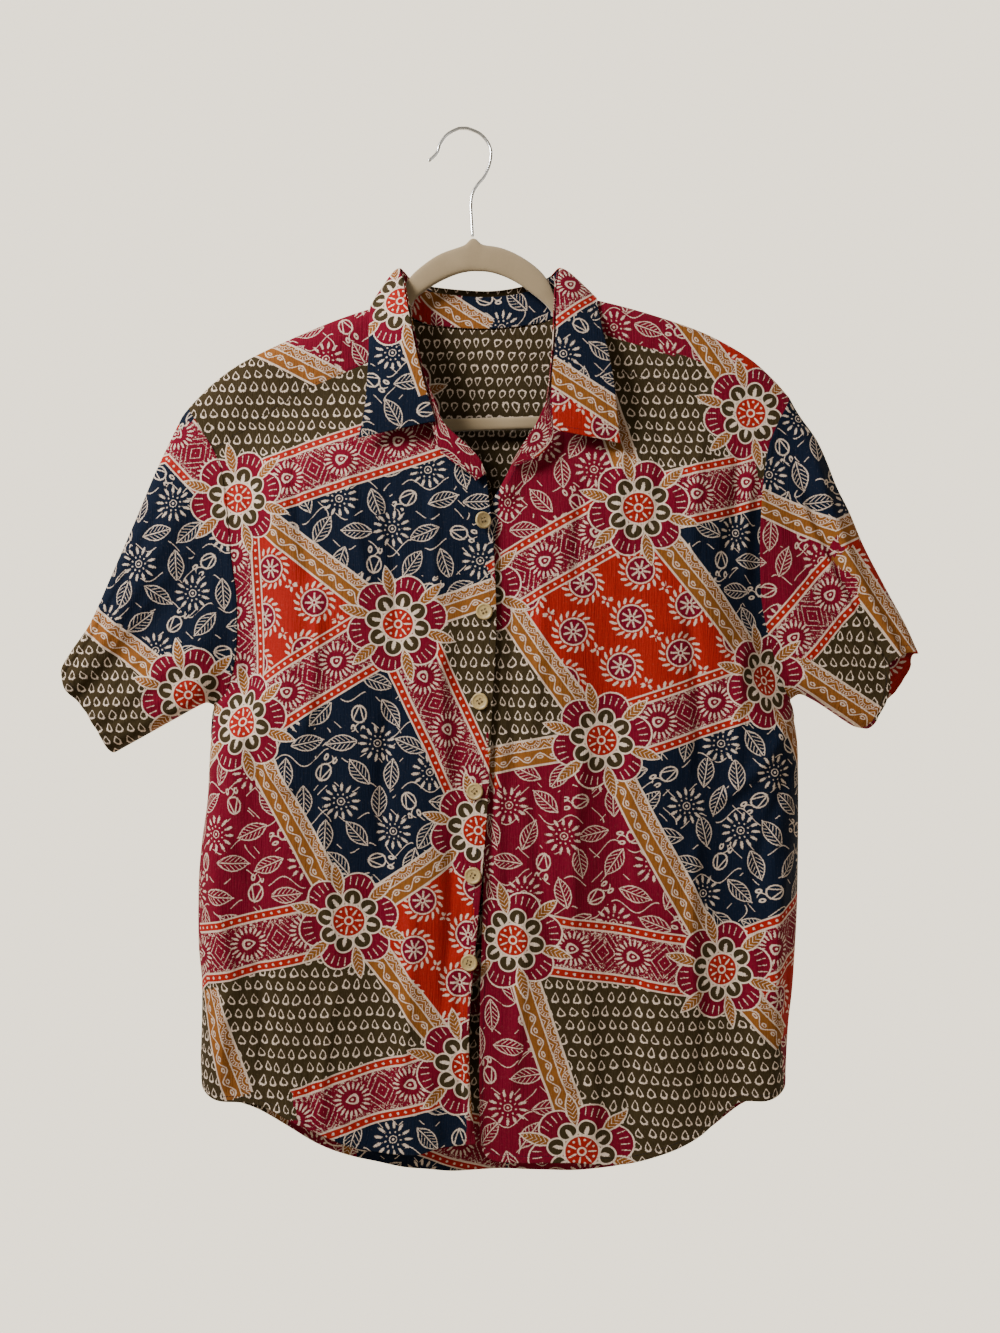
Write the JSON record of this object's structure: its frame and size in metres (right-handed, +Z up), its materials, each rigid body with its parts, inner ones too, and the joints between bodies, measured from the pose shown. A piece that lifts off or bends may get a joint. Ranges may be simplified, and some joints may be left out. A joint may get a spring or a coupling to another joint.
{
  "type": "button-up shirt on a hanger",
  "caption": "Short-sleeved cotton button-up shirt with a patchwork flower print, hanging unbuttoned on a velvet hanger with a wire hook.",
  "frame": {"origin": "inner top of the wire hook, where it rests on a rail or a wall hook", "axes": "+Z up, +X to the right as one faces the shirt's front, -Y towards the viewer; the hanger lies in the plane Y = 0"},
  "size_m": [0.7907, 0.075, 0.9782],
  "materials": {
    "printed_cotton": "light crinkled cotton, printed with flowers and leaves in red, navy, olive, ochre and cream, matte",
    "velvet": "beige flocked velvet",
    "steel_wire": "bright wire",
    "button_wood": "pale turned wood, satin"
  },
  "bodies": {
    "root": {"hanger": "velvet", "hanger_hook": "steel_wire", "back": "printed_cotton", "yoke": "printed_cotton", "front_right": "printed_cotton", "front_left": "printed_cotton", "sleeve_right": "printed_cotton", "sleeve_left": "printed_cotton", "collar_stand": "printed_cotton", "collar_leaf": "printed_cotton", "button_1": "button_wood", "button_2": "button_wood", "button_3": "button_wood", "button_4": "button_wood", "button_5": "button_wood", "button_6": "button_wood"}
  },
  "joints": []
}
